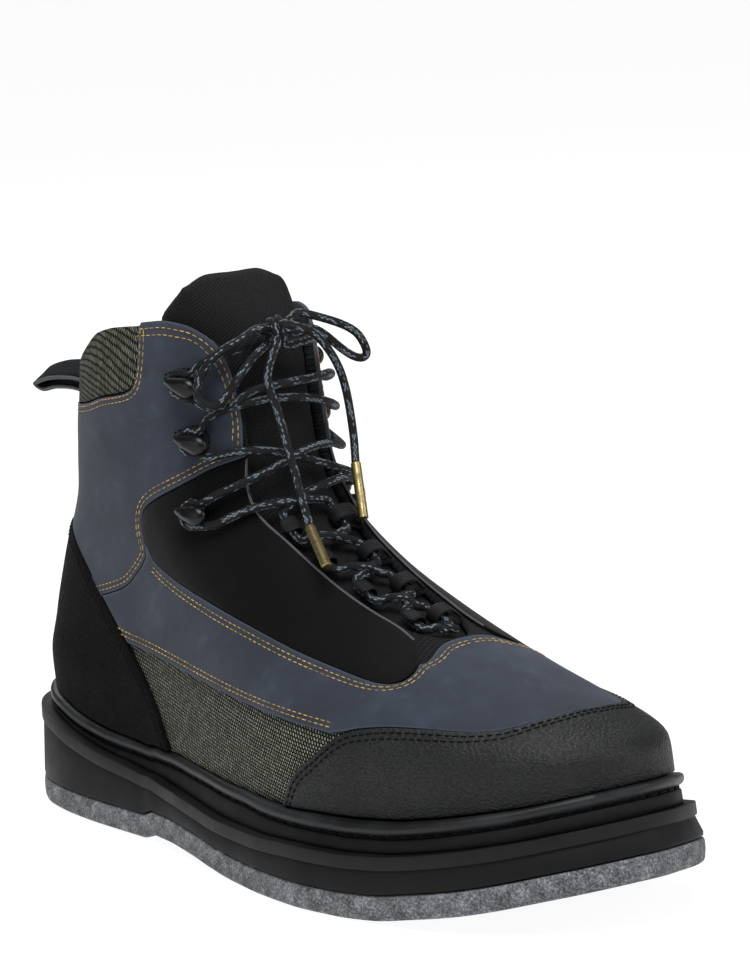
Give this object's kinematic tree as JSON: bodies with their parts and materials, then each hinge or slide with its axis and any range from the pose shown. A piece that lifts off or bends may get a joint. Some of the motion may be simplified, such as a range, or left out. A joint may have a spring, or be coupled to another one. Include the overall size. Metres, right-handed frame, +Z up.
{
  "type": "wading boot",
  "caption": "Lace-up wading boot for the right foot with a studded felt sole, a padded tongue, lace hooks, a tied bow and a pull loop at the heel.",
  "frame": {"origin": "on the floor under the middle of the heel seat, where the felt's heel part is flat", "axes": "+X to the toe, +Y to the medial side (the wearer's left on this right boot), +Z up"},
  "size_m": [0.3459, 0.1228, 0.2072],
  "materials": {
    "felt": "matte heather felt",
    "midsole_rubber": "matte",
    "welt_rubber": "satin",
    "insole_foam": "matte knit",
    "mesh_fabric": "woven",
    "mesh_fabric_collar": "woven",
    "toe_cap_rubber": "pebbled",
    "counter_rubber": "fine textured",
    "blue_nubuck": "napped",
    "black_leather": "smooth",
    "tongue_knit": "knit",
    "webbing": "ribbed",
    "lace_cord": "braided",
    "tag_brass": "satin",
    "hook_black": "satin",
    "stud_steel": "satin"
  },
  "bodies": {
    "root": {"bow_loop_left": "lace_cord", "bow_loop_right": "lace_cord", "collar_patch": "mesh_fabric_collar", "eyestay_lateral": "black_leather", "eyestay_medial": "black_leather", "felt_outsole": "felt", "heel_counter": "counter_rubber", "insole": "insole_foam", "lace": "lace_cord", "lace_end_left": "lace_cord", "lace_end_right": "lace_cord", "lace_hook_low_lateral": "hook_black", "lace_hook_low_medial": "hook_black", "lace_hook_mid_lateral": "hook_black", "lace_hook_mid_medial": "hook_black", "lace_hook_top_lateral": "hook_black", "lace_hook_top_medial": "hook_black", "lace_knot": "lace_cord", "lace_loop_1_lateral": "webbing", "lace_loop_1_medial": "webbing", "lace_loop_2_lateral": "webbing", "lace_loop_2_medial": "webbing", "lace_loop_3_lateral": "webbing", "lace_loop_3_medial": "webbing", "lace_loop_4_lateral": "webbing", "lace_loop_4_medial": "webbing", "lace_tag_left": "tag_brass", "lace_tag_right": "tag_brass", "midsole": "midsole_rubber", "pull_loop": "webbing", "quarter_lateral": "blue_nubuck", "quarter_medial": "blue_nubuck", "stud_01": "stud_steel", "stud_02": "stud_steel", "stud_03": "stud_steel", "stud_04": "stud_steel", "stud_05": "stud_steel", "stud_06": "stud_steel", "stud_07": "stud_steel", "stud_08": "stud_steel", "stud_09": "stud_steel", "stud_10": "stud_steel", "stud_11": "stud_steel", "stud_12": "stud_steel", "stud_13": "stud_steel", "stud_14": "stud_steel", "stud_15": "stud_steel", "stud_16": "stud_steel", "toe_cap": "toe_cap_rubber", "tongue": "tongue_knit", "upper": "mesh_fabric", "vamp": "blue_nubuck", "welt": "welt_rubber"}
  },
  "joints": []
}
